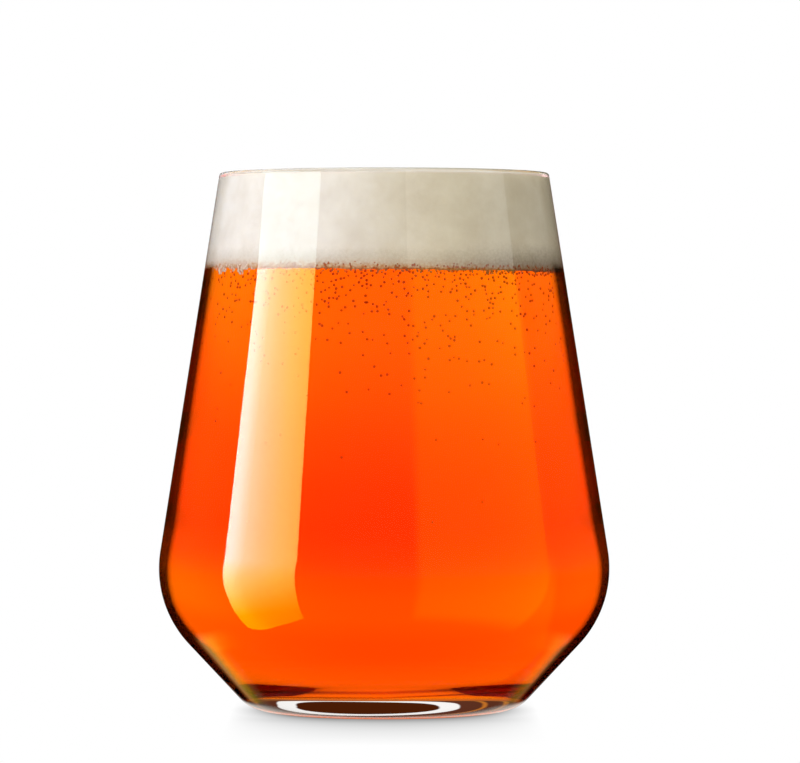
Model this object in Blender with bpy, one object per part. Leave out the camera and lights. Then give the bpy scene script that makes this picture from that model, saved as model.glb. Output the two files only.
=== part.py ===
"""A filled beer glass: a one-piece stemless glass tumbler, the beer in it and its head of foam.

Every piece is turned about the Z axis. The origin is the middle of the foot, on the surface
that the glass stands on. Sizes are in metres and angles in radians.
"""
import math

import bpy

for old in list(bpy.data.objects):
    bpy.data.objects.remove(old, do_unlink=True)

# The tumbler's outside
HEIGHT = 0.104               # table to the top of the rim
RIM_DIAMETER = 0.0637        # where the straight wall would reach the full height
BELLY_DIAMETER = 0.0873      # at the widest level
BELLY_HEIGHT = 0.0275        # the widest level, above the table
SHOULDER_RADIUS = 0.0213     # the turn from the straight wall into the tapered bottom
FOOT_DIAMETER = 0.0449       # outer edge of the ring that touches the table
FOOT_RADIUS = 0.0077         # rounding from the taper into that ring
FOOT_RING_WIDTH = 0.0040     # flat width of the ring
PUNT_DEPTH = 0.0012          # hollow under the foot, at the middle

# The tumbler's inside
RIM_WALL = 0.0012            # glass at the rim, measured level
SHOULDER_WALL = 0.0017       # glass round the shoulder
BASE_THICKNESS = 0.0058      # glass under the beer, down to the table
FLOOR_DIAMETER = 0.0440      # flat floor inside
FLOOR_RADIUS = 0.0050        # rounding from the floor into the inner taper

# What the tumbler holds
FILL_HEIGHT = 0.0856         # where the beer ends and the foam begins, above the table
FOAM_BELOW_RIM = 0.0005      # from the top of the rim down to the highest foam
FOAM_CROWN = 0.0003          # rise of the foam from its edge to its middle
CLEARANCE = 0.0003           # gap between neighbouring pieces
MERGE_DISTANCE = 0.00001     # points of a turned profile on the axis that become one

# Facets
TURN_STEPS = 64
SHOULDER_STEPS = 9
CORNER_STEPS = 6
BEAD_STEPS = 6
PUNT_STEPS = 4
CROWN_STEPS = 3

SHOULDER_CENTRE = (BELLY_DIAMETER / 2 - SHOULDER_RADIUS, BELLY_HEIGHT)
FOOT_CENTRE = (FOOT_DIAMETER / 2, FOOT_RADIUS)
FLOOR_CENTRE = (FLOOR_DIAMETER / 2, BASE_THICKNESS + FLOOR_RADIUS)


def wall_lean(rim_radius, shoulder_radius):
    """Angle that a straight wall leans in, on the tangent from the rim to the shoulder's arc."""
    across = rim_radius - SHOULDER_CENTRE[0]
    up = HEIGHT - SHOULDER_CENTRE[1]
    return math.atan2(up, across) - math.acos(shoulder_radius / math.hypot(across, up))


def taper_slope(shoulder_radius, corner_centre, corner_radius):
    """Angle below level of the normal to the line that touches the shoulder and the corner."""
    across = SHOULDER_CENTRE[0] - corner_centre[0]
    up = SHOULDER_CENTRE[1] - corner_centre[1]
    reach = (corner_radius - shoulder_radius) / math.hypot(across, up)
    return math.acos(reach) - math.atan2(up, across)


OUTER_LEAN = wall_lean(RIM_DIAMETER / 2, SHOULDER_RADIUS)
INNER_RADIUS = SHOULDER_RADIUS - SHOULDER_WALL
INNER_LEAN = wall_lean(RIM_DIAMETER / 2 - RIM_WALL, INNER_RADIUS)


def arc(centre, radius, start, end, steps):
    """Points (r, z) on an arc from one angle to another, both ends included."""
    angles = [start + (end - start) * step / steps for step in range(steps + 1)]
    return [(centre[0] + radius * math.cos(a), centre[1] + radius * math.sin(a)) for a in angles]


def wall_radius(lean, shoulder_radius, height):
    """Radius at a height of the straight wall that runs up from a shoulder's arc."""
    reach = SHOULDER_CENTRE[0] * math.cos(lean) + SHOULDER_CENTRE[1] * math.sin(lean)
    return (reach + shoulder_radius - height * math.sin(lean)) / math.cos(lean)


def bowl_side(lean, shoulder_radius, corner_centre, corner_radius):
    """Points down a side of the bowl: round the shoulder, along the taper, round the corner."""
    slope = taper_slope(shoulder_radius, corner_centre, corner_radius)
    shoulder = arc(SHOULDER_CENTRE, shoulder_radius, lean, -slope, SHOULDER_STEPS)
    return shoulder + arc(corner_centre, corner_radius, -slope, -math.pi / 2, CORNER_STEPS)


def rim_bead():
    """The fire-polished rim: half a round, from the inside of the wall over to the outside."""
    height = HEIGHT - RIM_WALL / 2
    outside = wall_radius(OUTER_LEAN, SHOULDER_RADIUS, height)
    inside = wall_radius(INNER_LEAN, INNER_RADIUS, height)
    centre = ((outside + inside) / 2, height)
    return arc(centre, (outside - inside) / 2, INNER_LEAN + math.pi, OUTER_LEAN, BEAD_STEPS)


def tumbler_profile():
    """From the middle of the floor, up the inside, over the rim and down the outside."""
    inside = bowl_side(INNER_LEAN, INNER_RADIUS, FLOOR_CENTRE, FLOOR_RADIUS)
    outside = bowl_side(OUTER_LEAN, SHOULDER_RADIUS, FOOT_CENTRE, FOOT_RADIUS)
    punt_radius = FOOT_DIAMETER / 2 - FOOT_RING_WIDTH
    shares = [1 - step / PUNT_STEPS for step in range(PUNT_STEPS + 1)]
    punt = [(punt_radius * share, PUNT_DEPTH * (1 - share**2)) for share in shares]
    return [(0, BASE_THICKNESS)] + inside[::-1] + rim_bead() + outside + punt


def beer_profile():
    """From the middle of the surface, across it and down the side that the glass gives it."""
    surface = FILL_HEIGHT - CLEARANCE / 2
    radius = INNER_RADIUS - CLEARANCE
    top = [(0, surface), (wall_radius(INNER_LEAN, radius, surface), surface)]
    side = bowl_side(INNER_LEAN, radius, FLOOR_CENTRE, FLOOR_RADIUS - CLEARANCE)
    return top + side + [(0, BASE_THICKNESS + CLEARANCE)]


def foam_profile():
    """From the crown, over to the edge, down the wall of the glass and back under the foam."""
    radius = INNER_RADIUS - CLEARANCE
    top = HEIGHT - FOAM_BELOW_RIM
    bottom = FILL_HEIGHT + CLEARANCE / 2
    edge = wall_radius(INNER_LEAN, radius, top - FOAM_CROWN)
    shares = [step / CROWN_STEPS for step in range(CROWN_STEPS + 1)]
    crown = [(edge * share, top - FOAM_CROWN * share**2) for share in shares]
    return crown + [(wall_radius(INNER_LEAN, radius, bottom), bottom), (0, bottom)]


def material(name, colour, roughness, transmission):
    """A Principled material with a plain linear colour."""
    made = bpy.data.materials.new(name)
    made.use_nodes = True
    shader = made.node_tree.nodes["Principled BSDF"]
    shader.inputs["Base Color"].default_value = (*colour, 1)
    shader.inputs["Roughness"].default_value = roughness
    shader.inputs["Metallic"].default_value = 0
    shader.inputs["Transmission Weight"].default_value = transmission
    return made


def turned(name, profile, finish):
    """An object turned about Z from a profile that runs down its outer side."""
    mesh = bpy.data.meshes.new(name)
    ends = range(len(profile) - 1)
    mesh.from_pydata([(r, 0, z) for r, z in profile], [(end, end + 1) for end in ends], [])
    mesh.materials.append(finish)
    piece = bpy.data.objects.new(name, mesh)
    bpy.context.scene.collection.objects.link(piece)
    turn = piece.modifiers.new("Turn", "SCREW")
    turn.axis = "Z"
    turn.steps = TURN_STEPS
    turn.render_steps = TURN_STEPS
    turn.use_merge_vertices = True
    turn.merge_threshold = MERGE_DISTANCE
    turn.use_smooth_shade = True
    return piece


glass_finish = material("Clear glass", (0.93, 0.94, 0.92), 0.02, 1)
beer_finish = material("Orange beer", (1.0, 0.11, 0.0), 0.05, 0.6)
foam_finish = material("Fine foam", (0.66, 0.61, 0.50), 0.75, 0)

turned("tumbler", tumbler_profile(), glass_finish)
turned("beer", beer_profile(), beer_finish)
turned("foam_head", foam_profile(), foam_finish)
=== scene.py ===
import math
import random

import bmesh
import bpy
from mathutils import Matrix, Vector, noise


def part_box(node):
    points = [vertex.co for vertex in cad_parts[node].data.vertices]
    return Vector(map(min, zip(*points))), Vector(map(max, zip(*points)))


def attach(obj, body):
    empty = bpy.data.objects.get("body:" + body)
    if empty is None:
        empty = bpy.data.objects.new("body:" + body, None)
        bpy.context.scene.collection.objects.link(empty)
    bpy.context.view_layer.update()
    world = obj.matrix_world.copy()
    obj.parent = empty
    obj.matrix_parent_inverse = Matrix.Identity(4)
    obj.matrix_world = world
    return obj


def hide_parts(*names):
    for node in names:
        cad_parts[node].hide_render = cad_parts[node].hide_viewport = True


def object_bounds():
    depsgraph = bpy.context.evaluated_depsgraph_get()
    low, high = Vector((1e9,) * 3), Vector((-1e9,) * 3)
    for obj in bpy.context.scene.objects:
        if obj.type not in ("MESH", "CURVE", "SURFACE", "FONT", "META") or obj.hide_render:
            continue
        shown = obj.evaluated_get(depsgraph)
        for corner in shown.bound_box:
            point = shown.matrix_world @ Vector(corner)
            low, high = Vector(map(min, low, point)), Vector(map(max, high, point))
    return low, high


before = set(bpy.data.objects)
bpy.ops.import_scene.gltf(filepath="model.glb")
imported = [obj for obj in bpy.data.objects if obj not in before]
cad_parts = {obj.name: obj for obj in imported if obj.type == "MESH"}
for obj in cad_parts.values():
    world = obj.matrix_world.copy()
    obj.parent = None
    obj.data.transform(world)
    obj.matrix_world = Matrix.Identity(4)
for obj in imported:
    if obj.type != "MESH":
        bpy.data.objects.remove(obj)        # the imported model: one body, "root", with three turned solids
cad_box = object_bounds()


# The camera stands level with the upper half of the glass and looks a little down at it. Rows and
# columns are pixels of the 800 x 763 photograph, and the height of the glass gives their scale.
PHOTO_WIDTH, PHOTO_HEIGHT = 800, 763
AXIS_COLUMN = 384.2          # the axis of the glass
TABLE_ROW = 709.75           # the middle of the foot, on the table
RIM_ROW = 173.25             # the middle of the rim
HORIZON_ROW = 332.0          # the camera's own height
FOCAL_PIXELS = 4607.0        # from how far the ellipses of rim and foot open
SENSOR_WIDTH = 36
BOUNCES = 48                 # the thick foot carries light round many corners

HEIGHT = cad_box[1][2] - cad_box[0][2]
METRES_PER_PIXEL = HEIGHT / (TABLE_ROW - RIM_ROW)

scene = bpy.context.scene
camera_data = bpy.data.cameras.new("camera")
camera_data.sensor_width = SENSOR_WIDTH
camera_data.lens = SENSOR_WIDTH * FOCAL_PIXELS / PHOTO_WIDTH
camera = bpy.data.objects.new("camera", camera_data)
scene.collection.objects.link(camera)
camera.location = (0, -FOCAL_PIXELS * METRES_PER_PIXEL, (TABLE_ROW - HORIZON_ROW) * METRES_PER_PIXEL)
aim = Vector((PHOTO_WIDTH / 2 - AXIS_COLUMN, 0, TABLE_ROW - PHOTO_HEIGHT / 2)) * METRES_PER_PIXEL
camera.rotation_euler = (aim - camera.location).to_track_quat("-Z", "Y").to_euler()
scene.camera = camera
bpy.context.view_layer.update()
scene.view_settings.view_transform = "Standard"
scene.cycles.max_bounces = BOUNCES
scene.cycles.transmission_bounces = BOUNCES
scene.cycles.glossy_bounces = BOUNCES


# The room is a plain pale studio: white to the camera and through the glass, a soft light on matt
# surfaces, and dim where the polished glass mirrors it.
def linear(colour):
    """A linear RGBA colour from an sRGB hex value such as "#ff8800"."""
    parts = [int(colour[i:i + 2], 16) / 255 for i in (1, 3, 5)]
    return [c / 12.92 if c <= 0.04045 else ((c + 0.055) / 1.055) ** 2.4 for c in parts] + [1]


def add(tree, kind, inputs=None, **settings):
    """A node with its settings, and its inputs set to values or linked to other nodes' outputs."""
    made = tree.nodes.new(kind)
    for name, value in settings.items():
        setattr(made, name, value)
    for socket, value in (inputs or {}).items():
        if isinstance(value, bpy.types.NodeSocket):
            tree.links.new(value, made.inputs[socket])
        else:
            made.inputs[socket].default_value = value
    return made


def between(ends, results=(0.0, 1.0)):
    """The inputs that take values between two ends to two results."""
    return dict(zip(("From Min", "From Max", "To Min", "To Max"), (*ends, *results)))


def set_stops(ramp, stops, low=0.0, high=1.0):
    """Give a ramp its stops, hex colours or grey shares, at values between low and high."""
    elements = ramp.color_ramp.elements
    elements.remove(elements[1])
    for number, (value, colour) in enumerate(stops):
        position = (value - low) / (high - low)
        stop = elements[0] if number == 0 else elements.new(position)
        stop.position = position
        stop.color = linear(colour) if isinstance(colour, str) else (colour, colour, colour, 1)


COLOUR_A, COLOUR_B, MIXED = 6, 7, 2     # the sockets of a node that mixes colours
WHITE = [1, 1, 1, 1]
ROOM_LIGHT = linear("#e1dac2")
BACKLIGHT = [1.25, 1.25, 1.25, 1]       # makes up for what the surfaces of the glass mirror away
LIT_TABLE = linear("#a8783a")           # the table under the glass, seen steeply down through it
LIT_TABLE_RISE = (-0.78, -0.66)

# What the wall mirrors at a glancing angle, by the upward part of the direction.
ROOM_RISE = (-0.1, 0.1)
MIRRORED_ROOM = ((-0.0615, "#000000"), (-0.0500, "#481900"), (0.0300, "#481900"), (0.0900, "#000000"))

# What the taper mirrors at its sides: the light that the beer throws on the table. The slant, which
# is the sideways part of the direction over the upward part, keeps it to the taper.
TABLE_RISE = (-0.8, -0.2)
MIRRORED_TABLE = ((-0.72, "#000000"), (-0.64, "#956100"), (-0.58, "#da9b19"), (-0.525, "#ffdb3b"),
                  (-0.475, "#ffd24f"), (-0.43, "#ffb666"), (-0.39, "#905628"), (-0.35, "#000000"))
SLANTS = (-2.0, 0.0)
TABLE_SLANT = ((-1.30, 0), (-1.06, 1), (-0.87, 1), (-0.80, 0.25), (-0.74, 0))
TABLE_BACK = (0.25, 0.45)               # only towards the back of the room
TABLE_TURN = (-0.2, 0.2)
TABLE_SIDES = (1.5, 0.8)                # stronger on the left than on the right

# What the rounding of the foot mirrors: the pale table close by.
NEAR_TABLE = linear("#f0eee4")[:3]
NEAR_SLANT = ((-0.82, 0), (-0.74, 0.50), (-0.62, 1.20), (-0.01, 1.20))
NEAR_BACK = (0.62, 0.80)
NEAR_RISE = (-0.10, -0.20)

world = bpy.data.worlds.new("studio")
scene.world = world
world.use_nodes = True
tree = world.node_tree
tree.nodes.clear()
path = add(tree, "ShaderNodeLightPath")
direct = add(tree, "ShaderNodeMath", {0: path.outputs["Diffuse Depth"], 1: 0.5}, operation="LESS_THAN")
through = add(tree, "ShaderNodeMath", {0: path.outputs["Is Transmission Ray"], 1: direct.outputs[0]},
              operation="MULTIPLY")
polished = add(tree, "ShaderNodeMath", {0: path.outputs["Is Glossy Ray"], 1: direct.outputs[0]},
               operation="MULTIPLY")
place = add(tree, "ShaderNodeTexCoord")
ray = add(tree, "ShaderNodeSeparateXYZ", {0: place.outputs["Generated"]})

share = add(tree, "ShaderNodeMapRange", {"Value": ray.outputs["Z"], **between(ROOM_RISE)})
room = add(tree, "ShaderNodeValToRGB", {0: share.outputs[0]})
set_stops(room, MIRRORED_ROOM, *ROOM_RISE)

share = add(tree, "ShaderNodeMapRange", {"Value": ray.outputs["Z"], **between(TABLE_RISE)})
table = add(tree, "ShaderNodeValToRGB", {0: share.outputs[0]})
set_stops(table, MIRRORED_TABLE, *TABLE_RISE)
sideways = add(tree, "ShaderNodeMath", {0: ray.outputs["X"]}, operation="ABSOLUTE")
slant = add(tree, "ShaderNodeMath", {0: sideways.outputs[0], 1: ray.outputs["Z"]}, operation="DIVIDE")
share = add(tree, "ShaderNodeMapRange", {"Value": slant.outputs[0], **between(SLANTS)})
taper = add(tree, "ShaderNodeValToRGB", {0: share.outputs[0]})
set_stops(taper, TABLE_SLANT, *SLANTS)
back = add(tree, "ShaderNodeMapRange", {"Value": ray.outputs["Y"], **between(TABLE_BACK)})
side = add(tree, "ShaderNodeMapRange", {"Value": ray.outputs["X"], **between(TABLE_TURN, TABLE_SIDES)})
part = add(tree, "ShaderNodeMath", {0: taper.outputs[0], 1: back.outputs[0]}, operation="MULTIPLY")
strength = add(tree, "ShaderNodeMath", {0: part.outputs[0], 1: side.outputs[0]}, operation="MULTIPLY")
amber = add(tree, "ShaderNodeVectorMath", {0: table.outputs[0], "Scale": strength.outputs[0]},
            operation="SCALE")

rounding = add(tree, "ShaderNodeValToRGB", {0: share.outputs[0]})
set_stops(rounding, NEAR_SLANT, *SLANTS)
back = add(tree, "ShaderNodeMapRange", {"Value": ray.outputs["Y"], **between(NEAR_BACK)})
down = add(tree, "ShaderNodeMapRange", {"Value": ray.outputs["Z"], **between(NEAR_RISE)})
part = add(tree, "ShaderNodeMath", {0: back.outputs[0], 1: down.outputs[0]}, operation="MULTIPLY")
strength = add(tree, "ShaderNodeMath", {0: part.outputs[0], 1: rounding.outputs[0]}, operation="MULTIPLY")
pale = add(tree, "ShaderNodeVectorMath", {0: NEAR_TABLE, "Scale": strength.outputs[0]}, operation="SCALE")

with_amber = add(tree, "ShaderNodeVectorMath", {0: room.outputs[0], 1: amber.outputs[0]})
with_pale = add(tree, "ShaderNodeVectorMath", {0: with_amber.outputs[0], 1: pale.outputs[0]})
mirrored = add(tree, "ShaderNodeMix", {0: polished.outputs[0], COLOUR_A: ROOM_LIGHT,
                                       COLOUR_B: with_pale.outputs[0]}, data_type="RGBA")
level = add(tree, "ShaderNodeMapRange", {"Value": ray.outputs["Z"], **between(LIT_TABLE_RISE)})
behind = add(tree, "ShaderNodeMix", {0: level.outputs[0], COLOUR_A: LIT_TABLE, COLOUR_B: BACKLIGHT},
             data_type="RGBA")
backlit = add(tree, "ShaderNodeMix", {0: through.outputs[0], COLOUR_A: mirrored.outputs[MIXED],
                                      COLOUR_B: behind.outputs[MIXED]}, data_type="RGBA")
seen = add(tree, "ShaderNodeMix", {0: path.outputs["Is Camera Ray"], COLOUR_A: backlit.outputs[MIXED],
                                   COLOUR_B: WHITE}, data_type="RGBA")
background = add(tree, "ShaderNodeBackground", {"Color": seen.outputs[MIXED]})
add(tree, "ShaderNodeOutputWorld", {"Surface": background.outputs[0]})


# The floor is a white sheet. The camera sees it as white as the room, with a painted shadow in its colour,
# drawn as the soft shadow of a light from behind, and it throws plain light back up on the glass.
FLOOR_SIZE = 6.0
SHADOW_HALF_WIDTH = 0.0295
SHADOW_SPAN = (-0.08, 0.04)
PAINTED_SHADOW_ALONG = ((-0.078, 0.00), (-0.066, 0.07), (-0.050, 0.17), (-0.041, 0.255), (-0.0325, 0.385),
                (-0.0240, 0.62), (-0.020, 0.66), (0.000, 0.66), (0.032, 0.00))

# Close to the foot the painted shadow is darker, by the distance from the axis, but hardly at the front.
CLOSE_SPAN = (0.022, 0.030)
PAINTED_CLOSE_SHADOW = ((0.0225, 0.40), (0.0232, 0.31), (0.0240, 0.24), (0.0255, 0.14), (0.0265, 0.09),
                (0.0278, 0.045), (0.0300, 0.0))
CLOSE_ASIDE = (0.006, 0.018)
CLOSE_STRENGTH = (0.18, 1.0)


def finish_mesh(name, bm, *materials):
    """An object with a bmesh's faces, shaded smooth, in the scene."""
    mesh = bpy.data.meshes.new(name)
    bm.to_mesh(mesh)
    bm.free()
    for material in materials:
        mesh.materials.append(material)
    mesh.shade_smooth()
    made = bpy.data.objects.new(name, mesh)
    scene.collection.objects.link(made)
    return made


def new_material(name):
    """An empty node material."""
    made = bpy.data.materials.new(name)
    made.use_nodes = True
    made.node_tree.nodes.clear()
    return made


# Matt white board: it has no gloss, and only a painted shadow shows on it.
floor_paint = new_material("matt white board with painted shadow")
tree = floor_paint.node_tree
path = add(tree, "ShaderNodeLightPath")
place = add(tree, "ShaderNodeTexCoord")
spot = add(tree, "ShaderNodeSeparateXYZ", {0: place.outputs["Object"]})
# Painted shadow: the colour that the camera sees darkens by the floor's own coordinates, in front of the
# foot and close round it.
side = add(tree, "ShaderNodeMath", {0: spot.outputs["X"], 1: SHADOW_HALF_WIDTH}, operation="DIVIDE")
square = add(tree, "ShaderNodeMath", {0: side.outputs[0], 1: 2.0}, operation="POWER")
across = add(tree, "ShaderNodeMath", {0: 1.0, 1: square.outputs[0]}, operation="SUBTRACT", use_clamp=True)
share = add(tree, "ShaderNodeMapRange", {"Value": spot.outputs["Y"], **between(SHADOW_SPAN)})
forward = add(tree, "ShaderNodeValToRGB", {0: share.outputs[0]})
set_stops(forward, PAINTED_SHADOW_ALONG, *SHADOW_SPAN)
painted_shadow = add(tree, "ShaderNodeMath", {0: across.outputs[0], 1: forward.outputs[0]}, operation="MULTIPLY")

distance = add(tree, "ShaderNodeVectorMath", {0: place.outputs["Object"]}, operation="LENGTH")
share = add(tree, "ShaderNodeMapRange", {"Value": distance.outputs["Value"], **between(CLOSE_SPAN)})
close = add(tree, "ShaderNodeValToRGB", {0: share.outputs[0]})
set_stops(close, PAINTED_CLOSE_SHADOW, *CLOSE_SPAN)
aside = add(tree, "ShaderNodeMath", {0: spot.outputs["X"]}, operation="ABSOLUTE")
strength = add(tree, "ShaderNodeMapRange", {"Value": aside.outputs[0],
                                            **between(CLOSE_ASIDE, CLOSE_STRENGTH)})
darker = add(tree, "ShaderNodeMath", {0: close.outputs[0], 1: strength.outputs[0], 2: painted_shadow.outputs[0]},
             operation="MULTIPLY_ADD")
lit = add(tree, "ShaderNodeMath", {0: 1.0, 1: darker.outputs[0]}, operation="SUBTRACT", use_clamp=True)

white = add(tree, "ShaderNodeEmission", {"Color": lit.outputs[0]})
sheet = add(tree, "ShaderNodeBsdfDiffuse", {"Color": linear("#f2f2f2")})
either = add(tree, "ShaderNodeMixShader", {0: path.outputs["Is Camera Ray"], 1: sheet.outputs[0],
                                           2: white.outputs[0]})
add(tree, "ShaderNodeOutputMaterial", {"Surface": either.outputs[0]})

bm = bmesh.new()
bmesh.ops.create_grid(bm, x_segments=1, y_segments=1, size=FLOOR_SIZE / 2)
floor = finish_mesh("floor", bm, floor_paint)
floor.visible_transmission = False
floor.visible_glossy = False


# The tent is the white wall round the glass that the light comes through. Only clear pieces show
# it: it is warm and dim near the table, brightest a little above it, and redder at the far left.
TENT_RADIUS = 0.30
TENT_BOTTOM, TENT_TOP = -0.30, 0.70
TENT_STEPS = 64
TENT_STRENGTH = 1.7
TENT_GLOW = ((-0.030, "#f39e3f"), (0.000, "#f3af45"), (0.013, "#f3c561"), (0.024, "#f3ddbc"),
             (0.040, "#f3efe7"), (0.055, "#f3efe7"), (0.075, "#f3d4d4"), (0.120, "#f3cbcb"),
             (0.200, "#f3d4d4"))
REDDER = linear("#ffdddd")
REDDER_LEFT = (-0.104, -0.112)
REDDER_HIGH = (0.0, 0.036)

# Backlit white cloth: an even glow without threads.
tent_glow = new_material("backlit white cloth")
tree = tent_glow.node_tree
place = add(tree, "ShaderNodeTexCoord")
spot = add(tree, "ShaderNodeSeparateXYZ", {0: place.outputs["Object"]})
share = add(tree, "ShaderNodeMapRange", {"Value": spot.outputs["Z"], **between((TENT_BOTTOM, TENT_TOP))})
shades = add(tree, "ShaderNodeValToRGB", {0: share.outputs[0]})
set_stops(shades, TENT_GLOW, TENT_BOTTOM, TENT_TOP)
left = add(tree, "ShaderNodeMapRange", {"Value": spot.outputs["X"], **between(REDDER_LEFT)})
high = add(tree, "ShaderNodeMapRange", {"Value": spot.outputs["Z"], **between(REDDER_HIGH)})
corner = add(tree, "ShaderNodeMath", {0: left.outputs[0], 1: high.outputs[0]}, operation="MULTIPLY")
colour = add(tree, "ShaderNodeMix", {0: corner.outputs[0], COLOUR_A: shades.outputs[0], COLOUR_B: REDDER},
             data_type="RGBA", blend_type="MULTIPLY")
path = add(tree, "ShaderNodeLightPath")
matt = add(tree, "ShaderNodeMath", {0: path.outputs["Diffuse Depth"], 1: 0.5}, operation="GREATER_THAN")
glow = add(tree, "ShaderNodeEmission", {"Color": colour.outputs[MIXED], "Strength": TENT_STRENGTH})
plain = add(tree, "ShaderNodeEmission", {"Color": ROOM_LIGHT})
either = add(tree, "ShaderNodeMixShader", {0: matt.outputs[0], 1: glow.outputs[0], 2: plain.outputs[0]})
add(tree, "ShaderNodeOutputMaterial", {"Surface": either.outputs[0]})

bm = bmesh.new()
wall = [bm.verts.new((TENT_RADIUS, 0, level)) for level in (TENT_BOTTOM, TENT_TOP)]
seam = bm.edges.new(wall)
bmesh.ops.spin(bm, geom=wall + [seam], cent=(0, 0, 0), axis=(0, 0, 1), angle=2 * math.pi,
               steps=TENT_STEPS, use_merge=True)
tent = finish_mesh("tent", bm, tent_glow)
tent.visible_camera = False
tent.visible_diffuse = False
tent.visible_glossy = False
tent.visible_shadow = False


# Two curved cards hang on the camera, far to its left and right, and only polished glass mirrors
# them: a bright one as a long highlight, and a dim one. Below the line at which the glass mirrors
# the top of the beer they are warm, and above it, for the foam, they are plain.
FILL_HEIGHT = 0.0856         # where the beer ends and the foam begins
WALL_LEAN = math.radians(8.96)
WALL_RADIUS = 0.0347         # of the outside at that height
CARD_LINE = FILL_HEIGHT - 0.0008
CARD_DISTANCE = 3.0
CARD_STEPS = 24
CARD_RISE = 1.2              # height of a card's range of colours, over its distance
AIM_STEPS = 6                # rounds in which a point of the line is found
AT_TOP = 0.99                # share of a card's height from which a point is on its top edge
LAST_SHARE = 0.9999          # of a card's width, just inside its last stretch
BOTTOM, KNEE, LINE, TOP = range(4)


def mirrored_line(goal):
    """Height on a card, at an angle, of the line that the camera sees in the wall."""
    turn = goal / 2
    for attempt in range(AIM_STEPS):
        out = Vector((math.sin(turn), -math.cos(turn), math.tan(WALL_LEAN))).normalized()
        spot = Vector((WALL_RADIUS * math.sin(turn), -WALL_RADIUS * math.cos(turn), CARD_LINE))
        ray = (spot - camera.location).reflect(out)
        hit = spot + ray * (CARD_DISTANCE - spot.xy.dot(ray.xy.normalized())) / ray.xy.length
        turn += (goal - math.atan2(hit.x, -hit.y)) / 2
    return hit.z


def lower_edge(bottoms, across):
    """Height of a card's lower edge at a share of its width."""
    place = min(max(across, 0), LAST_SHARE) * (len(bottoms) - 1)
    number, share = int(place), place % 1
    return bottoms[number] * (1 - share) + bottoms[number + 1] * share


def mirror_card(name, sides, bottoms, knee, top, warm, plain):
    """A card with the angles of its sides, in degrees, at its bottom, knee, line and top."""
    sides = [[math.radians(angle) for angle in pair] for pair in sides]
    start, end = sides[LINE]
    bm = bmesh.new()
    rows = [bm.verts.new((0, -CARD_DISTANCE, row)) for row in (BOTTOM, KNEE, LINE, TOP)]
    edges = [bm.edges.new(pair) for pair in zip(rows, rows[1:])]
    bmesh.ops.rotate(bm, verts=rows, cent=(0, 0, 0), matrix=Matrix.Rotation(start, 3, "Z"))
    bmesh.ops.spin(bm, geom=rows + edges, cent=(0, 0, 0), axis=(0, 0, 1), angle=end - start,
                   steps=CARD_STEPS)
    for point in bm.verts:
        across = (math.atan2(point.co.x, -point.co.y) - start) / (end - start)
        row = round(point.co.z)
        first, last = sides[row]
        goal = first + (last - first) * across
        heights = {BOTTOM: lower_edge(bottoms, across), KNEE: knee, LINE: mirrored_line(goal), TOP: top}
        point.co = (CARD_DISTANCE * math.sin(goal), -CARD_DISTANCE * math.cos(goal), heights[row])
    uv = bm.loops.layers.uv.new("card")
    for face in bm.faces:
        upper = any(point.co.z > AT_TOP * top for point in face.verts)
        face.material_index = int(upper)
        for loop in face.loops:
            turn = math.atan2(loop.vert.co.x, -loop.vert.co.y)
            level = loop.vert.co.z / CARD_DISTANCE
            if upper:
                level = int(loop.vert.co.z > AT_TOP * top)
            loop[uv].uv = ((turn - start) / (end - start), level)
    made = finish_mesh(name, bm, warm, plain)
    made.visible_camera = False
    made.visible_diffuse = False
    made.visible_transmission = False
    made.visible_shadow = False
    made.parent = camera
    made.matrix_parent_inverse = camera.matrix_world.inverted()


def card_glow(name, strength, across, upward, bottom):
    """The light of a card: colours along its width times colours by the height from a bottom."""
    made = new_material(name)
    tree = made.node_tree
    place = add(tree, "ShaderNodeUVMap", uv_map="card")
    spot = add(tree, "ShaderNodeSeparateXYZ", {0: place.outputs[0]})
    sideways = add(tree, "ShaderNodeValToRGB", {0: spot.outputs["X"]})
    set_stops(sideways, across)
    share = add(tree, "ShaderNodeMapRange", {"Value": spot.outputs["Y"],
                                             **between((bottom, bottom + CARD_RISE))})
    upright = add(tree, "ShaderNodeValToRGB", {0: share.outputs[0]})
    set_stops(upright, upward)
    both = add(tree, "ShaderNodeMix", {0: 1.0, COLOUR_A: sideways.outputs[0], COLOUR_B: upright.outputs[0]},
               data_type="RGBA", blend_type="MULTIPLY")
    glow = add(tree, "ShaderNodeEmission", {"Color": both.outputs[MIXED], "Strength": strength})
    add(tree, "ShaderNodeOutputMaterial", {"Surface": glow.outputs[0]})
    return made


# The left card glows from amber at its bottom to white at its top, and ends low in a slanted curve.
LEFT_ACROSS = ((0.10, "#fffdec"), (0.30, "#f8e2b2"), (0.5, "#efd594"), (0.75, "#e7ce72"), (1, "#dec056"))
LEFT_UPWARD = ((0.083, "#ff8c00"), (0.308, "#ff9800"), (0.383, "#ffa61c"), (0.517, "#ffbb4f"),
               (0.65, "#ffd283"), (0.767, "#ffe4a9"), (0.883, "#fff2d4"), (0.983, "#ffffff"))
LEFT_COOL = ((0, "#e4fdff"), (1, "#e4fdff"))
LEFT_FADE = ((0.0, "#ffffff"), (0.02, "#ecebea"), (0.055, "#c8c8c8"))
LEFT_BOTTOM = (-2.60, -2.90, -2.99, -2.98, -2.94, -2.87, -2.77, -2.65, -2.50)
LEFT_SIDES = ((-94.3, -49.0), (-89.2, -46.0), (-89.0, -45.1), (-118.0, -45.0))
left_warm = card_glow("left card, warm part", 15.8, LEFT_ACROSS, LEFT_UPWARD, bottom=-1.0)
left_plain = card_glow("left card, plain part", 6.1, LEFT_COOL, LEFT_FADE, bottom=0.0)
mirror_card("left_card", LEFT_SIDES, LEFT_BOTTOM, knee=-1.0, top=1.2, warm=left_warm, plain=left_plain)

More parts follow.
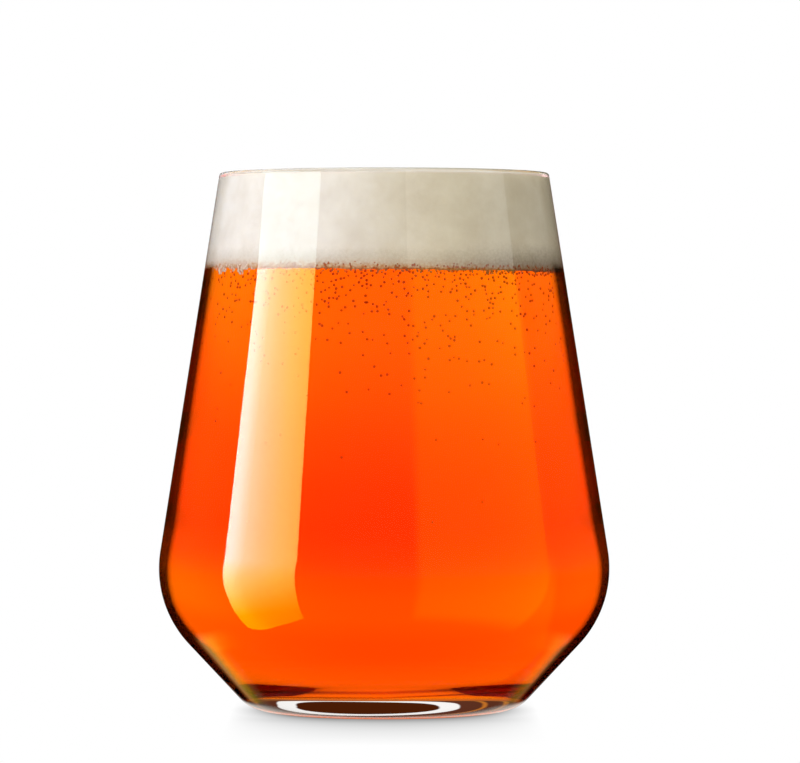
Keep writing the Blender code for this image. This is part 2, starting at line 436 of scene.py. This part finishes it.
# The right card is faint, and fades out at its bottom.
RIGHT_WARM = ((0, "#000000"), (0.06, "#ffdc00"), (1, "#ffdc00"))
RIGHT_UPWARD = ((0.14, "#000000"), (0.40, "#ffffff"))
RIGHT_EVEN = ((0, "#ffffff"), (1, "#ffffff"))
RIGHT_BOTTOM = (-3.1, -3.1)
RIGHT_SIDES = [(15.0, 92.0)] * 4
right_warm = card_glow("right card, warm part", 1.0, RIGHT_WARM, RIGHT_UPWARD, bottom=-1.2)
right_plain = card_glow("right card, plain part", 1.1, RIGHT_EVEN, RIGHT_EVEN, bottom=0.0)
mirror_card("right_card", RIGHT_SIDES, RIGHT_BOTTOM, knee=-1.0, top=4.0, warm=right_warm, plain=right_plain)


# A small bluish lamp at the left lights the foam, which stands otherwise in the room's warm light.
LAMP_SIZE = 0.35
LAMP_POWER = 4.6
LAMP_COLOUR = linear("#bfd1ff")[:3]
LAMP_PLACE = Vector((-0.69, -0.20, 0.30))
LAMP_TARGET = Vector((0, 0, 0.09))

lamp_data = bpy.data.lights.new("side lamp", "AREA")
lamp_data.shape = "SQUARE"
lamp_data.size = LAMP_SIZE
lamp_data.energy = LAMP_POWER
lamp_data.color = LAMP_COLOUR
lamp = bpy.data.objects.new("side lamp", lamp_data)
scene.collection.objects.link(lamp)
lamp.location = LAMP_PLACE
lamp.rotation_euler = (LAMP_TARGET - LAMP_PLACE).to_track_quat("-Z", "Y").to_euler()
lamp.visible_glossy = False
lamp.visible_transmission = False


# The tumbler is one piece of clear soda-lime glass, blown and pressed in a mould: a straight wall
# that leans in, a round shoulder, a tapered bottom, and a rim that the flame left as a bead.
RIM_RADIUS = 0.0637 / 2      # where the straight wall would reach the full height
BELLY_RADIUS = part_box("tumbler")[1][0]
BELLY_HEIGHT = 0.0275
SHOULDER_RADIUS = 0.0213
FOOT_RADIUS = 0.0449 / 2     # outer edge of the ring on the table
FOOT_CORNER = 0.0077
RING_WIDTH = 0.0040
PUNT_DEPTH = 0.0012
RIM_WALL = 0.0012
SHOULDER_WALL = 0.0017
BASE_THICKNESS = 0.0058
FLOOR_RADIUS = 0.0440 / 2
FLOOR_CORNER = 0.0050
BEAD_GAP = 0.0004            # from the rim's bead down to the first point of each wall
MERGE_DISTANCE = 1e-6

TURN_STEPS = 192
WALL_STEPS, SHOULDER_STEPS, TAPER_STEPS, CORNER_STEPS = 60, 32, 16, 20
DRY_STEPS, BEAD_STEPS, FLAT_STEPS, RING_STEPS, PUNT_STEPS = 16, 16, 12, 4, 16

SHOULDER_CENTRE = Vector((BELLY_RADIUS - SHOULDER_RADIUS, BELLY_HEIGHT))


def arc(centre, radius, start, end, steps):
    """Points (r, z) on an arc between two angles, both ends included."""
    angles = [start + (end - start) * step / steps for step in range(steps + 1)]
    return [centre + radius * Vector((math.cos(a), math.sin(a))) for a in angles]


def along(start, end, steps):
    """Points on a straight stretch, without its ends."""
    return [start.lerp(end, step / steps) for step in range(1, steps)]


def wall_lean(rim_radius, shoulder_radius):
    """Angle that a wall leans in, on the tangent from the rim to the shoulder's arc."""
    reach = Vector((rim_radius, HEIGHT)) - SHOULDER_CENTRE
    return math.atan2(reach.y, reach.x) - math.acos(shoulder_radius / reach.length)


def taper_slope(shoulder_radius, corner_centre, corner_radius):
    """Angle below level of the normal of the line that touches the shoulder and the corner."""
    reach = SHOULDER_CENTRE - corner_centre
    return math.acos((corner_radius - shoulder_radius) / reach.length) - math.atan2(reach.y, reach.x)


def wall_radius(lean, shoulder_radius, height):
    """Radius of a straight wall at a height."""
    reach = SHOULDER_CENTRE.dot((math.cos(lean), math.sin(lean))) + shoulder_radius
    return (reach - height * math.sin(lean)) / math.cos(lean)


def bowl_side(lean, shoulder_radius, corner_centre, corner_radius, top):
    """Points down a wall from a height: the straight wall, the shoulder, the taper, the corner."""
    slope = taper_slope(shoulder_radius, corner_centre, corner_radius)
    shoulder = arc(SHOULDER_CENTRE, shoulder_radius, lean, -slope, SHOULDER_STEPS)
    corner = arc(corner_centre, corner_radius, -slope, -math.pi / 2, CORNER_STEPS)
    start = Vector((wall_radius(lean, shoulder_radius, top), top))
    wall = along(start, shoulder[0], WALL_STEPS)
    taper = along(shoulder[-1], corner[0], TAPER_STEPS)
    return [start] + wall + shoulder + taper + corner


def turned(name, outline, steps, *materials):
    """A closed piece spun about Z from an outline that starts and ends on the axis."""
    bm = bmesh.new()
    points = [bm.verts.new((point[0], 0, point[1])) for point in outline]
    edges = [bm.edges.new(pair) for pair in zip(points, points[1:])]
    bmesh.ops.spin(bm, geom=points + edges, cent=(0, 0, 0), axis=(0, 0, 1), angle=2 * math.pi,
                   steps=steps, use_merge=True)
    bmesh.ops.remove_doubles(bm, verts=bm.verts, dist=MERGE_DISTANCE)
    bmesh.ops.recalc_face_normals(bm, faces=bm.faces)
    return finish_mesh(name, bm, *materials)


INNER_RADIUS = SHOULDER_RADIUS - SHOULDER_WALL
OUTER_LEAN = wall_lean(RIM_RADIUS, SHOULDER_RADIUS)
INNER_LEAN = wall_lean(RIM_RADIUS - RIM_WALL, INNER_RADIUS)
FOOT_CENTRE = Vector((FOOT_RADIUS, FOOT_CORNER))
FLOOR_CENTRE = Vector((FLOOR_RADIUS, BASE_THICKNESS + FLOOR_CORNER))

bead_height = HEIGHT - RIM_WALL / 2
bead_outside = wall_radius(OUTER_LEAN, SHOULDER_RADIUS, bead_height)
bead_inside = wall_radius(INNER_LEAN, INNER_RADIUS, bead_height)
bead_centre = Vector(((bead_outside + bead_inside) / 2, bead_height))
bead = arc(bead_centre, (bead_outside - bead_inside) / 2, INNER_LEAN + math.pi, OUTER_LEAN, BEAD_STEPS)
outside = bowl_side(OUTER_LEAN, SHOULDER_RADIUS, FOOT_CENTRE, FOOT_CORNER, bead[-1].y - BEAD_GAP)
wet_side = bowl_side(INNER_LEAN, INNER_RADIUS, FLOOR_CENTRE, FLOOR_CORNER, FILL_HEIGHT)
dry_height = bead[0].y - BEAD_GAP
dry_top = Vector((wall_radius(INNER_LEAN, INNER_RADIUS, dry_height), dry_height))
dry_side = along(wet_side[0], dry_top, DRY_STEPS) + [dry_top]
floor_middle = Vector((0, BASE_THICKNESS))
inner_floor = [floor_middle] + along(floor_middle, wet_side[-1], FLAT_STEPS)
ring_inside = FOOT_RADIUS - RING_WIDTH
ring = along(outside[-1], Vector((ring_inside, 0)), RING_STEPS)
shares = [1 - step / PUNT_STEPS for step in range(PUNT_STEPS + 1)]
punt = [Vector((ring_inside * share, PUNT_DEPTH * (1 - share ** 2))) for share in shares]
outline = inner_floor + wet_side[::-1] + dry_side + bead + outside + ring + punt

GLASS_IOR = 1.52
BEER_IOR = 1.34


def clear_glass(name, ior):
    """Clear soda-lime glass, polished, that lets lamps through."""
    made = new_material(name)
    tree = made.node_tree
    body = add(tree, "ShaderNodeBsdfPrincipled", {"Base Color": WHITE, "Roughness": 0.0, "IOR": ior,
                                                  "Transmission Weight": 1.0})
    path = add(tree, "ShaderNodeLightPath")
    clear = add(tree, "ShaderNodeBsdfTransparent")
    lets_lamps = add(tree, "ShaderNodeMixShader", {0: path.outputs["Is Shadow Ray"], 1: body.outputs[0],
                                                   2: clear.outputs[0]})
    add(tree, "ShaderNodeOutputMaterial", {"Surface": lets_lamps.outputs[0]})
    return made, body


# Glass in air, with a painted shade: where the eye meets it at a glancing angle, its colour is darkened
# to a brown outline, which stands in for the dark the wall shows there, wider along the taper and hardly at
# the foam. EDGE_STARTS is how glancing the angle is where the outline starts, by height.
EDGE_STARTS = ((0.0010, 0.60), (0.0034, 0.60), (0.0058, 0.658), (0.0097, 0.643), (0.0135, 0.637),
               (0.0174, 0.655), (0.0213, 0.670), (0.0290, 0.650), (0.0370, 0.625), (HEIGHT, 0.625))
# Painted shade of the outline by height: grey at the foot, near black on the taper, dark up the wall and
# pale beside the foam.
PAINTED_EDGE_SHADES = ((0.0000, "#a09890"), (0.0023, "#78706a"), (0.0036, "#504a44"), (0.0058, "#060404"),
                (0.0190, "#060404"), (0.0290, "#1c1b1a"), (FILL_HEIGHT - 0.0002, "#1c1b1a"),
                (FILL_HEIGHT + 0.0011, "#f0ede6"))
EDGE_SOFTNESS = 0.10
EDGE_TURN_HEIGHTS = (0.0135, 0.055)
EDGE_TURN = (0.42, -0.42)    # later on the right low down, and earlier there higher up, for each metre

dry_glass, body = clear_glass("clear soda-lime glass", GLASS_IOR)
tree = dry_glass.node_tree
place = add(tree, "ShaderNodeTexCoord")
spot = add(tree, "ShaderNodeSeparateXYZ", {0: place.outputs["Object"]})
share = add(tree, "ShaderNodeMapRange", {"Value": spot.outputs["Z"], **between((0.0, HEIGHT))})
start = add(tree, "ShaderNodeValToRGB", {0: share.outputs[0]})
set_stops(start, EDGE_STARTS, 0.0, HEIGHT)
turn = add(tree, "ShaderNodeMapRange", {"Value": spot.outputs["Z"], **between(EDGE_TURN_HEIGHTS, EDGE_TURN)})
shifted = add(tree, "ShaderNodeMath", {0: spot.outputs["X"], 1: turn.outputs[0], 2: start.outputs[0]},
              operation="MULTIPLY_ADD")
end = add(tree, "ShaderNodeMath", {0: shifted.outputs[0], 1: EDGE_SOFTNESS})
glance = add(tree, "ShaderNodeLayerWeight", {"Blend": 0.5})
band = add(tree, "ShaderNodeMapRange",
           {"Value": glance.outputs["Facing"], **between((shifted.outputs[0], end.outputs[0]))},
           interpolation_type="SMOOTHSTEP")
edge = add(tree, "ShaderNodeValToRGB", {0: share.outputs[0]})
set_stops(edge, PAINTED_EDGE_SHADES, 0.0, HEIGHT)
painted_outline = add(tree, "ShaderNodeMix", {0: band.outputs[0], COLOUR_A: WHITE, COLOUR_B: edge.outputs[0]},
           data_type="RGBA")
tree.links.new(painted_outline.outputs[MIXED], body.inputs["Base Color"])

# Glass against beer bends light less. Two thin dark lines of painted shade are drawn in its colour near
# the round corner of the inner floor, where that corner turns light aside; they climb to the right and are
# deeper at the sides.
LINE_HEIGHT = 0.0070
LINE_REACH = 0.001
LINE_RISE = 0.035            # to the right, for each metre
PAINTED_LINE_MASK = ((-0.00099, 0), (-0.00090, 1), (-0.00078, 1), (-0.00062, 0), (-0.0004, 0), (-0.0001, 1),
             (0.0001, 1), (0.0004, 0))
PAINTED_LINE_COLOURS = ("#c27a60", "#78502c")    # in the middle and at the sides
LINE_SIDE = 0.011

wet_glass, body = clear_glass("clear soda-lime glass against beer", GLASS_IOR / BEER_IOR)
tree = wet_glass.node_tree
place = add(tree, "ShaderNodeTexCoord")
spot = add(tree, "ShaderNodeSeparateXYZ", {0: place.outputs["Object"]})
right = add(tree, "ShaderNodeMath", {0: spot.outputs["X"], 1: 0.0}, operation="MAXIMUM")
level = add(tree, "ShaderNodeMath", {0: right.outputs[0], 1: -LINE_RISE, 2: spot.outputs["Z"]},
            operation="MULTIPLY_ADD")
share = add(tree, "ShaderNodeMapRange",
            {"Value": level.outputs[0], **between((LINE_HEIGHT - LINE_REACH, LINE_HEIGHT + LINE_REACH))})
mask = add(tree, "ShaderNodeValToRGB", {0: share.outputs[0]})
set_stops(mask, PAINTED_LINE_MASK, -LINE_REACH, LINE_REACH)
aside = add(tree, "ShaderNodeMath", {0: spot.outputs["X"]}, operation="ABSOLUTE")
deeper = add(tree, "ShaderNodeMapRange", {"Value": aside.outputs[0], **between((0.0, LINE_SIDE))})
brown = add(tree, "ShaderNodeMix", {0: deeper.outputs[0], COLOUR_A: linear(PAINTED_LINE_COLOURS[0]),
                                    COLOUR_B: linear(PAINTED_LINE_COLOURS[1])}, data_type="RGBA")
line = add(tree, "ShaderNodeMix", {0: mask.outputs[0], COLOUR_A: WHITE, COLOUR_B: brown.outputs[MIXED]},
           data_type="RGBA")
tree.links.new(line.outputs[MIXED], body.inputs["Base Color"])

# Glass close on the table shows what lies under it, unbent.
open_glass, body = clear_glass("clear soda-lime glass on the table", 1.0)

DRY, WET, OPEN = range(3)
UPWARD, DOWNWARD = 0.9, -0.96            # how far a face turns to count as floor or as underside
WET_BOTTOM, WET_TOP = BASE_THICKNESS * 0.9, HEIGHT - RIM_WALL
UNDERSIDE_TOP = 0.003

tumbler = turned("glass_tumbler", outline, TURN_STEPS, dry_glass, wet_glass, open_glass)
for face in tumbler.data.polygons:
    inward = face.normal.xy.dot(face.center.xy) < 0 or face.normal.z > UPWARD
    if inward and WET_BOTTOM < face.center.z < WET_TOP:
        face.material_index = WET
    if face.normal.z < DOWNWARD and face.center.z < UNDERSIDE_TOP:
        face.material_index = OPEN
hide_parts("tumbler")
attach(tumbler, "root")


# Under the foot a glowing sheet carries painted light and shade in place of the light that the thick base
# gathers:
# a bright ring round a dark middle, faint rings outside it and a dull edge. It is a sheet on the foot's own
# underside.
UNDER_GAP = 0.00005
UNDER_STEPS = 96
UNDER_ROUNDING = 6           # points of the foot's rounding that it takes in
UNDER_MIDDLE = (-0.0021, 0.0037, 0)
UNDER_SHAPE = (0.0120, 0.0089, 1)        # half the width and half the depth of the rings, at 1
UNDER_REACH = 2.0
PAINTED_UNDER_RINGS = ((0.00, "#481c06"), (0.735, "#481c06"), (0.76, "#f6f3f0"), (0.95, "#f6f3f0"),
               (0.97, "#5c3020"), (1.19, "#5c3020"), (1.22, "#c07028"), (1.24, "#c07028"),
               (1.27, "#5c3020"), (1.43, "#5c3020"), (1.46, "#c87828"), (1.50, "#c87828"),
               (1.53, "#6c4030"), (1.62, "#a05a30"), (1.75, "#d0621c"))
UNDER_EDGE = linear("#a98a76")           # under the rounding of the foot
UNDER_EDGE_WIDTH = 0.0008
UNDER_STRENGTH = 1.1

# A white board lit through beer and glass, painted as a glow: painted light and shade, drawn in rings.
under_light = new_material("sheet with painted light under the foot")
tree = under_light.node_tree
place = add(tree, "ShaderNodeTexCoord")
aside = add(tree, "ShaderNodeVectorMath", {0: place.outputs["Object"], 1: UNDER_MIDDLE},
            operation="SUBTRACT")
scaled = add(tree, "ShaderNodeVectorMath", {0: aside.outputs[0], 1: UNDER_SHAPE}, operation="DIVIDE")
flat = add(tree, "ShaderNodeVectorMath", {0: scaled.outputs[0], 1: (1, 1, 0)}, operation="MULTIPLY")
reach = add(tree, "ShaderNodeVectorMath", {0: flat.outputs[0]}, operation="LENGTH")
share = add(tree, "ShaderNodeMapRange", {"Value": reach.outputs["Value"], **between((0.0, UNDER_REACH))})
rings = add(tree, "ShaderNodeValToRGB", {0: share.outputs[0]})
set_stops(rings, PAINTED_UNDER_RINGS, 0.0, UNDER_REACH)
distance = add(tree, "ShaderNodeVectorMath", {0: place.outputs["Object"]}, operation="LENGTH")
outer = add(tree, "ShaderNodeMapRange", {"Value": distance.outputs["Value"],
                                         **between((FOOT_RADIUS - UNDER_EDGE_WIDTH, FOOT_RADIUS))})
colour = add(tree, "ShaderNodeMix", {0: outer.outputs[0], COLOUR_A: rings.outputs[0], COLOUR_B: UNDER_EDGE},
             data_type="RGBA")
glow = add(tree, "ShaderNodeEmission", {"Color": colour.outputs[MIXED], "Strength": UNDER_STRENGTH})
add(tree, "ShaderNodeOutputMaterial", {"Surface": glow.outputs[0]})

underside = [point - Vector((0, UNDER_GAP)) for point in outside[-UNDER_ROUNDING:] + ring + punt]
under = turned("under_light", underside, UNDER_STEPS, under_light)
under.visible_camera = False
under.visible_diffuse = False
under.visible_glossy = False
under.visible_shadow = False


# The beer is a clear orange liquid that fills the tumbler to the foam. The glass's wetted wall
# bends the light between the two, so the beer's own skin bends nothing and its depth colours it.
WET_GAP = 0.00005
BEER_DENSITY = 165.0

# Filtered beer: yellow in a thin layer, and the deeper the redder.
beer_liquid = new_material("clear orange beer")
tree = beer_liquid.node_tree
skin = add(tree, "ShaderNodeBsdfPrincipled", {"Base Color": WHITE, "Roughness": 0.0, "IOR": 1.0,
                                              "Transmission Weight": 1.0})
path = add(tree, "ShaderNodeLightPath")
clear = add(tree, "ShaderNodeBsdfTransparent")
lets_lamps = add(tree, "ShaderNodeMixShader", {0: path.outputs["Is Shadow Ray"], 1: skin.outputs[0],
                                               2: clear.outputs[0]})
depth = add(tree, "ShaderNodeVolumeAbsorption", {"Color": linear("#fde500"), "Density": BEER_DENSITY})
add(tree, "ShaderNodeOutputMaterial", {"Surface": lets_lamps.outputs[0], "Volume": depth.outputs[0]})

beer_side = bowl_side(INNER_LEAN, INNER_RADIUS - WET_GAP, FLOOR_CENTRE, FLOOR_CORNER - WET_GAP, FILL_HEIGHT)
beer_top = Vector((0, FILL_HEIGHT))
beer_floor = Vector((0, BASE_THICKNESS + WET_GAP))
outline = [beer_top] + along(beer_top, beer_side[0], FLAT_STEPS) + beer_side
outline += along(beer_side[-1], beer_floor, FLAT_STEPS) + [beer_floor]
beer = turned("orange_beer", outline, TURN_STEPS, beer_liquid)
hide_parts("beer")
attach(beer, "root")


# Gas bubbles hang on the wall of the beer and rise in it, most of them just under the foam and to
# the right of the middle. Each is a ball of gas that clings to the glass until it is large enough.
BUBBLES = 600
BUBBLE_SIZES = (0.00018, 0.00028)
BUBBLE_TOP = FILL_HEIGHT - 0.0010
BUBBLE_LOWEST = 0.036
BUBBLE_DEPTHS = (0.0008, 0.0080)         # on average, of those right under the foam and of the rest
BUBBLES_UNDER_FOAM = 0.25
BUBBLE_GAP = 0.00058                     # between middles, at least
BUBBLE_WALL_GAP = 0.0001
BUBBLE_TURN = 1.75                       # to each side of the front
BUBBLES_BEHIND = 0.06
BUBBLE_SIDE = 0.35                       # where most of them are
BUBBLE_SPREAD = 0.2                      # how many there are on the far side, against that

random.seed(11)

# A gas bubble is drawn with a painted reflection of the dark of the beer round it: a red bead with a browner
# rim by the facing angle.
gas = new_material("gas bubble in beer")
tree = gas.node_tree
glance = add(tree, "ShaderNodeLayerWeight", {"Blend": 0.5})
shade = add(tree, "ShaderNodeMix", {0: glance.outputs["Facing"], COLOUR_A: linear("#dc3400"),
                                    COLOUR_B: linear("#962000")}, data_type="RGBA")
bubble_skin = add(tree, "ShaderNodeBsdfPrincipled", {"Base Color": shade.outputs[MIXED], "Roughness": 0.3,
                                                     "Specular IOR Level": 0.1})
add(tree, "ShaderNodeOutputMaterial", {"Surface": bubble_skin.outputs[0]})

BATCH = 40                               # balls that are joined at a time, which is quicker


def balls(places):
    """Small balls at (angle, reach, height, size), right of the camera being an angle above 0."""
    bm = bmesh.new()
    batch = bpy.data.meshes.new("batch")
    for start in range(0, len(places), BATCH):
        part = bmesh.new()
        for turn, reach, height, size in places[start:start + BATCH]:
            middle = Vector((reach * math.sin(turn), -reach * math.cos(turn), height))
            bmesh.ops.create_uvsphere(part, u_segments=8, v_segments=6, radius=size,
                                      matrix=Matrix.Translation(middle))
        part.to_mesh(batch)
        part.free()
        bm.from_mesh(batch)
    bpy.data.meshes.remove(batch)
    return bm


places = []
while len(places) < BUBBLES:
    turn = random.uniform(-BUBBLE_TURN, BUBBLE_TURN)
    if random.random() < BUBBLES_BEHIND:
        turn += math.pi
    size = random.uniform(*BUBBLE_SIZES)
    depth = BUBBLE_DEPTHS[0] if random.random() < BUBBLES_UNDER_FOAM else BUBBLE_DEPTHS[1]
    height = BUBBLE_TOP - random.expovariate(1 / depth)
    reach = wall_radius(INNER_LEAN, INNER_RADIUS, height) - size - BUBBLE_WALL_GAP
    apart = all(math.hypot((turn - there) * reach, height - level) > BUBBLE_GAP
                for there, distance, level, width in places)
    chance = BUBBLE_SPREAD + (1 - BUBBLE_SPREAD) * max(math.cos(turn - BUBBLE_SIDE), 0)
    if apart and height > BUBBLE_LOWEST and random.random() < chance:
        places.append((turn, reach, height, size))
bubbles = finish_mesh("gas_bubbles", balls(places), gas)
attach(bubbles, "root")


# The head is a fine wet foam that stands on the beer, wets the wall and reaches the rim. It thins
# to a brown, coarser edge on the beer, which hangs lower in the middle and to the right.
FOAM_TOP = HEIGHT - 0.0005
FOAM_EDGE = HEIGHT - 0.0008
FOAM_FOOT = FILL_HEIGHT - 0.0003
FOAM_DROP = 0.0004           # of the lower edge
FOAM_TILT = 0.012            # of that edge, lower to the right, for each metre
FOAM_SKIN = INNER_RADIUS - WET_GAP * 0.6         # between the glass and the skin of the beer
FOAM_STEPS = 384
CROWN_STEPS = 24
CROWN_MARGIN = 0.00001       # so that the crown's own edge counts as crown
LOOSE_HEIGHT = 0.0015        # of the lower edge that is ragged
LOOSE_PULL = 0.006           # share of its radius by which it stands back from the wall
LUMPS = (900, 350)           # for each metre
LUMP_DEPTHS = (0.00025, 0.00008)         # at the lower edge and on the crown

MOTTLE_SIZE = 0.007
MOTTLE = ((0.3, "#e9e4dc"), (0.7, "#f9f7f3"))
GRAIN_SIZE = 0.0005          # coarser than the real bubbles, so that it shows
GRAIN_REACH = 0.0011
PORE_STRENGTH = 0.25
PORE_DEPTH = 0.0001
THIN_SPAN = (-0.0010, 0.0050)
THIN_SHIFT = 0.0008          # lowers that edge by what the grain takes off it
THIN_EDGE = ((-0.0004, "#bc7040"), (0.0001, "#cc9670"), (0.0005, "#dabca2"), (0.0009, "#e2d2c4"),
             (0.0013, "#e7e0d8"), (0.0022, "#efeeea"), (0.0040, "#ffffff"))
# Painted shade on the right of the foam: its colour is darker towards its lower edge there, standing in for
# less light.
PAINTED_DUSK_SPAN = (0.0, 0.0045)
PAINTED_DUSK = (0.45, 1.0)           # light on the lower edge and above it, on the right
PAINTED_DUSK_SIDE = (0.010, 0.028)

# Beer foam: matt, off-white and cloudy, with fine pores, brown where it is thin, and darkened on the right
# by a painted shade.
foam_stuff = new_material("fine beer foam")
tree = foam_stuff.node_tree
place = add(tree, "ShaderNodeTexCoord")
spot = add(tree, "ShaderNodeSeparateXYZ", {0: place.outputs["Object"]})
cloud = add(tree, "ShaderNodeTexNoise", {"Vector": place.outputs["Object"], "Scale": 1 / MOTTLE_SIZE,
                                         "Detail": 5.0, "Roughness": 0.65})
mottled = add(tree, "ShaderNodeValToRGB", {0: cloud.outputs["Fac"]})
set_stops(mottled, MOTTLE)
grain = add(tree, "ShaderNodeTexVoronoi", {"Vector": place.outputs["Object"], "Scale": 1 / GRAIN_SIZE})
ragged = add(tree, "ShaderNodeMath", {0: grain.outputs["Distance"], 1: -GRAIN_REACH, 2: spot.outputs["Z"]},
             operation="MULTIPLY_ADD")
tilted = add(tree, "ShaderNodeMath", {0: spot.outputs["X"], 1: FOAM_TILT, 2: ragged.outputs[0]},
             operation="MULTIPLY_ADD")
above = add(tree, "ShaderNodeMath", {0: tilted.outputs[0], 1: FILL_HEIGHT - FOAM_DROP}, operation="SUBTRACT")
share = add(tree, "ShaderNodeMapRange", {"Value": above.outputs[0],
                                         **between([end - THIN_SHIFT for end in THIN_SPAN])})
thin = add(tree, "ShaderNodeValToRGB", {0: share.outputs[0]})
set_stops(thin, THIN_EDGE, *THIN_SPAN)
both = add(tree, "ShaderNodeMix", {0: 1.0, COLOUR_A: mottled.outputs[0], COLOUR_B: thin.outputs[0]},
           data_type="RGBA", blend_type="MULTIPLY")
painted_dusk = add(tree, "ShaderNodeMapRange", {"Value": above.outputs[0], **between(PAINTED_DUSK_SPAN, PAINTED_DUSK)})
right = add(tree, "ShaderNodeMapRange", {"Value": spot.outputs["X"], **between(PAINTED_DUSK_SIDE)})
shaded = add(tree, "ShaderNodeMix", {0: right.outputs[0], COLOUR_A: both.outputs[MIXED],
                                     COLOUR_B: painted_dusk.outputs[0]}, data_type="RGBA", blend_type="MULTIPLY")
pores = add(tree, "ShaderNodeBump", {"Height": grain.outputs["Distance"], "Strength": PORE_STRENGTH,
                                     "Distance": PORE_DEPTH})
froth = add(tree, "ShaderNodeBsdfPrincipled", {"Base Color": shaded.outputs[MIXED], "Roughness": 0.8,
                                               "Normal": pores.outputs[0]})
add(tree, "ShaderNodeOutputMaterial", {"Surface": froth.outputs[0]})

rim_edge = Vector((wall_radius(INNER_LEAN, FOAM_SKIN, FOAM_EDGE), FOAM_EDGE))
foot_edge = Vector((wall_radius(INNER_LEAN, FOAM_SKIN, FOAM_FOOT), FOAM_FOOT))
foot_middle = Vector((0, FOAM_FOOT))
shares = [step / CROWN_STEPS for step in range(CROWN_STEPS + 1)]
crown = [Vector((rim_edge.x * share, FOAM_TOP + (FOAM_EDGE - FOAM_TOP) * share ** 2)) for share in shares]
outline = crown + along(rim_edge, foot_edge, WALL_STEPS) + [foot_edge]
outline += along(foot_edge, foot_middle, FLAT_STEPS) + [foot_middle]
foam = turned("foam", outline, FOAM_STEPS, foam_stuff)
for point in foam.data.vertices:
    loose = 1 - min(max((point.co.z - FOAM_FOOT) / LOOSE_HEIGHT, 0), 1)
    lump = sum(noise.noise(point.co * fineness) for fineness in LUMPS)
    if loose > 0:
        inward = 1 - LOOSE_PULL * loose * (1 + 0.5 * lump)
        point.co.x *= inward
        point.co.y *= inward
        point.co.z += (LUMP_DEPTHS[0] * lump - FOAM_DROP - FOAM_TILT * point.co.x) * loose
    elif point.co.z > FOAM_EDGE - CROWN_MARGIN:
        point.co.z += LUMP_DEPTHS[1] * lump
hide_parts("foam_head")
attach(foam, "root")


# Small beads of gas fringe the lower edge of the foam at the wall, and in two places on the left
# they hang from it in a bunch. They are bubbles of the foam that stick to the glass.
FRINGE = 1000
FRINGE_SIZES = (0.00011, 0.00026)
FRINGE_HEIGHTS = (-0.0011, 0.0011, -0.0003)      # lowest, highest and most common
BUNCHES = ((math.radians(-64.4), 0.075), (math.radians(-52.6), 0.055))     # angle and half width
BUNCH_BEADS = 36
BUNCH_SIZES = (0.00018, 0.00032)
BUNCH_TOP = FILL_HEIGHT + 0.0003
BUNCH_LENGTH = 0.0019
BUNCH_TAPER = 0.65
BUNCH_CROWDING = 1.3                             # above 1 there are more of them near the foam
PAINTED_LIT_SIDE = (-0.012, -0.024)
PAINTED_LIT_BEAD = ((0.10, "#f6ece2"), (0.32, "#c89068"), (0.55, "#6a2c10"), (0.85, "#2c0e04"))
BROWN_BEAD_PAINTED_RIM = ((0.0, "#b8602c"), (0.42, "#a04a1c"), (0.75, "#602408"))

# A foam bubble on the glass, with painted light and shade: a dark rim drawn by the facing angle round a
# brown middle, and on the lit left a pale middle, a painted highlight.
bead_stuff = new_material("foam bubble on glass")
tree = bead_stuff.node_tree
glance = add(tree, "ShaderNodeLayerWeight", {"Blend": 0.5})
pale = add(tree, "ShaderNodeValToRGB", {0: glance.outputs["Facing"]})
set_stops(pale, PAINTED_LIT_BEAD)
brown = add(tree, "ShaderNodeValToRGB", {0: glance.outputs["Facing"]})
set_stops(brown, BROWN_BEAD_PAINTED_RIM)
place = add(tree, "ShaderNodeTexCoord")
spot = add(tree, "ShaderNodeSeparateXYZ", {0: place.outputs["Object"]})
left = add(tree, "ShaderNodeMapRange", {"Value": spot.outputs["X"], **between(PAINTED_LIT_SIDE)})
shade = add(tree, "ShaderNodeMix", {0: left.outputs[0], COLOUR_A: brown.outputs[0],
                                    COLOUR_B: pale.outputs[0]}, data_type="RGBA")
bead_skin = add(tree, "ShaderNodeBsdfPrincipled", {"Base Color": shade.outputs[MIXED], "Roughness": 0.35})
add(tree, "ShaderNodeOutputMaterial", {"Surface": bead_skin.outputs[0]})

places = []
for number in range(FRINGE):
    size = random.uniform(*FRINGE_SIZES)
    turn = random.uniform(-math.pi, math.pi)
    height = FILL_HEIGHT - FOAM_DROP + random.triangular(*FRINGE_HEIGHTS)
    height -= FOAM_TILT * WALL_RADIUS * math.sin(turn)
    reach = wall_radius(INNER_LEAN, FOAM_SKIN, height) - size
    places.append((turn, reach, height, size))
for bunch, half_width in BUNCHES:
    for number in range(BUNCH_BEADS):
        hang = random.random() ** BUNCH_CROWDING
        size = random.uniform(*BUNCH_SIZES)
        height = BUNCH_TOP - BUNCH_LENGTH * hang
        reach = wall_radius(INNER_LEAN, FOAM_SKIN, height) - size
        turn = bunch + random.uniform(-half_width, half_width) * (1 - BUNCH_TAPER * hang)
        places.append((turn, reach, height, size))
beads = finish_mesh("foam_beads", balls(places), bead_stuff)
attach(beads, "root")
